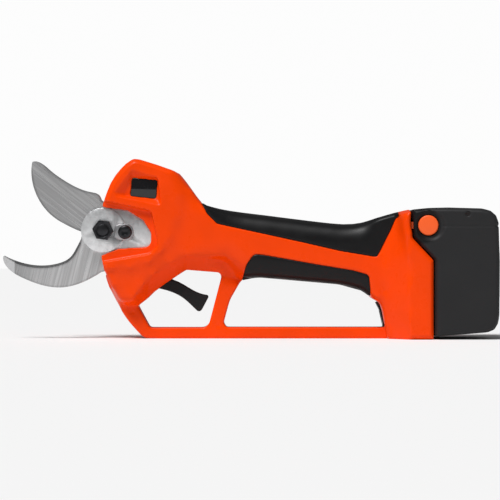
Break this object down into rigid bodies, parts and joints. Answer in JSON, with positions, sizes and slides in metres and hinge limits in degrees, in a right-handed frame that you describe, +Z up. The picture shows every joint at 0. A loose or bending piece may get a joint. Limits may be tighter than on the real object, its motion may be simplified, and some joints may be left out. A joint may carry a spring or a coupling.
{
  "type": "pruning shears",
  "caption": "Battery-powered one-hand pruning shears with a hooked bypass blade pair, orange guarded handle, trigger and slide-on battery.",
  "frame": {"origin": "middle of the box around the shears with the blades open, on the flat underside", "axes": "+X toward the battery, blades toward -X; +Z up from the guard's underside; +Y toward the side with the shell screws"},
  "size_m": [0.3098, 0.064, 0.1125],
  "materials": {
    "orange_shell": "satin",
    "black_grip": "fine textured",
    "battery_shell": "fine textured",
    "trigger_plastic": "fine textured",
    "button_orange": "satin",
    "blade_steel": "ground",
    "hook_steel": "ground",
    "dark_steel": "blackened",
    "bright_steel": "machined",
    "cheek_alloy": "cast and blasted",
    "lock_alloy": "satin",
    "bronze": "sintered",
    "copper": "enamelled",
    "magnet": "plain",
    "laminations": "plain",
    "board_green": "solder mask",
    "chip_black": "moulded",
    "lens_dark": "polished",
    "switch_black": "satin",
    "cell_wrap": "shrink wrap",
    "nickel": "plated",
    "light_dark": "polished",
    "spring_steel": "drawn"
  },
  "bodies": {
    "handle": {"housing_left": "orange_shell", "housing_right": "orange_shell", "palm_grip": "black_grip", "finger_grip": "black_grip", "shell_screws": "dark_steel", "hook_blade": "hook_steel", "hook_screw": "dark_steel", "pivot_bolt": "dark_steel", "pivot_nut": "dark_steel", "side_plate": "cheek_alloy", "nut_lock_plate": "lock_alloy", "lock_screw": "dark_steel", "head_frame": "cheek_alloy", "side_plate_screws": "dark_steel", "thrust_washer": "bronze", "shaft_bearings": "bright_steel", "ring_gear_case": "bright_steel", "motor_plate": "bright_steel", "motor_can": "dark_steel", "motor_end_cap": "chip_black", "stator": "laminations", "stator_coils": "copper", "control_board": "board_green", "board_parts": "chip_black", "display_lens": "lens_dark", "display_board": "board_green", "trigger_pin": "bright_steel", "trigger_spring": "spring_steel", "trigger_switch": "chip_black", "switch_body": "switch_black", "terminal_block": "chip_black", "contact_blades": "nickel"},
    "blade": {"cutting_blade": "blade_steel", "blade_dowels": "bright_steel", "pivot_bush": "bronze", "sector_gear": "bright_steel"},
    "output_shaft": {"output_pinion": "bright_steel", "planet_carrier_2": "bright_steel"},
    "middle_carrier": {"planet_carrier_1": "bright_steel"},
    "rotor_shaft": {"rotor": "laminations", "rotor_magnets": "magnet", "motor_shaft": "bright_steel"},
    "trigger": {"trigger": "trigger_plastic"},
    "battery": {"battery_case": "battery_shell", "battery_lid": "battery_shell", "battery_light": "light_dark", "battery_cells": "cell_wrap", "battery_contacts": "nickel", "protection_board": "board_green", "release_spring": "spring_steel"},
    "button_left": {"release_button_left": "button_orange"},
    "button_right": {"release_button_right": "button_orange"},
    "rocker": {"power_rocker": "switch_black"},
    "planet_1a": {"planet_1a": "bright_steel"},
    "planet_1b": {"planet_1b": "bright_steel"},
    "planet_1c": {"planet_1c": "bright_steel"},
    "planet_2a": {"planet_2a": "bright_steel"},
    "planet_2b": {"planet_2b": "bright_steel"},
    "planet_2c": {"planet_2c": "bright_steel"}
  },
  "joints": [
    {"name": "blade_pivot", "type": "hinge", "parent": "handle", "child": "blade", "pos_m": [-0.0917, 0, 0.0679], "axis": [0, -1, 0], "range_deg": [0, 64]},
    {"name": "output_spin", "type": "hinge", "parent": "handle", "child": "output_shaft", "pos_m": [-0.06185, 0, 0.06492], "axis": [0.9951, 0, -0.0993], "range_deg": [-260, 260]},
    {"name": "middle_spin", "type": "hinge", "parent": "handle", "child": "middle_carrier", "pos_m": [-0.04195, 0, 0.06293], "axis": [0.9951, 0, -0.0993], "range_deg": [-1034, 1034]},
    {"name": "rotor_spin", "type": "hinge", "parent": "handle", "child": "rotor_shaft", "pos_m": [-0.00712, 0, 0.05946], "axis": [0.9951, 0, -0.0993], "range_deg": [-4116, 4116]},
    {"name": "trigger_pull", "type": "hinge", "parent": "handle", "child": "trigger", "pos_m": [-0.0649, 0, 0.0386], "axis": [0, -1, 0], "range_deg": [0, 14], "stiffness_Nm_per_rad": 0.35, "springref_deg": -14.32, "deforming": ["trigger_spring"]},
    {"name": "battery_slide", "type": "slide", "parent": "handle", "child": "battery", "axis": [1, 0, 0], "range_m": [0, 0.045]},
    {"name": "button_left_press", "type": "slide", "parent": "battery", "child": "button_left", "axis": [0, 1, 0], "range_m": [0, 0.0035], "stiffness_N_per_m": 900, "springref_m": -0.002, "deforming": ["release_spring"]},
    {"name": "button_right_press", "type": "slide", "parent": "battery", "child": "button_right", "axis": [0, -1, 0], "range_m": [0, 0.0035], "stiffness_N_per_m": 900, "springref_m": -0.002, "deforming": ["release_spring"]},
    {"name": "rocker_tip", "type": "hinge", "parent": "handle", "child": "rocker", "pos_m": [0.08426, 0, 0.01573], "axis": [0, 1, 0], "range_deg": [0, 8]},
    {"name": "planet_2a_spin", "type": "hinge", "parent": "output_shaft", "child": "planet_2a", "pos_m": [-0.04841, 0.0084, 0.06358], "axis": [0.9951, 0, -0.0993], "range_deg": [-778, 778]},
    {"name": "planet_2b_spin", "type": "hinge", "parent": "output_shaft", "child": "planet_2b", "pos_m": [-0.04769, -0.0042, 0.07082], "axis": [0.9951, 0, -0.0993], "range_deg": [-778, 778]},
    {"name": "planet_2c_spin", "type": "hinge", "parent": "output_shaft", "child": "planet_2c", "pos_m": [-0.04914, -0.0042, 0.05634], "axis": [0.9951, 0, -0.0993], "range_deg": [-778, 778]},
    {"name": "planet_1a_spin", "type": "hinge", "parent": "middle_carrier", "child": "planet_1a", "pos_m": [-0.03697, 0.0084, 0.06244], "axis": [0.9951, 0, -0.0993], "range_deg": [-3082, 3082]},
    {"name": "planet_1b_spin", "type": "hinge", "parent": "middle_carrier", "child": "planet_1b", "pos_m": [-0.03625, -0.0042, 0.06968], "axis": [0.9951, 0, -0.0993], "range_deg": [-3082, 3082]},
    {"name": "planet_1c_spin", "type": "hinge", "parent": "middle_carrier", "child": "planet_1c", "pos_m": [-0.03769, -0.0042, 0.0552], "axis": [0.9951, 0, -0.0993], "range_deg": [-3082, 3082]}
  ],
  "couplings": [
    {"joint": "output_spin", "follows": "blade_pivot", "ratio": 4},
    {"joint": "middle_spin", "follows": "blade_pivot", "ratio": 16},
    {"joint": "rotor_spin", "follows": "blade_pivot", "ratio": 64},
    {"joint": "planet_2a_spin", "follows": "blade_pivot", "ratio": -12},
    {"joint": "planet_1a_spin", "follows": "blade_pivot", "ratio": -48},
    {"joint": "planet_2b_spin", "follows": "blade_pivot", "ratio": -12},
    {"joint": "planet_1b_spin", "follows": "blade_pivot", "ratio": -48},
    {"joint": "planet_2c_spin", "follows": "blade_pivot", "ratio": -12},
    {"joint": "planet_1c_spin", "follows": "blade_pivot", "ratio": -48}
  ]
}
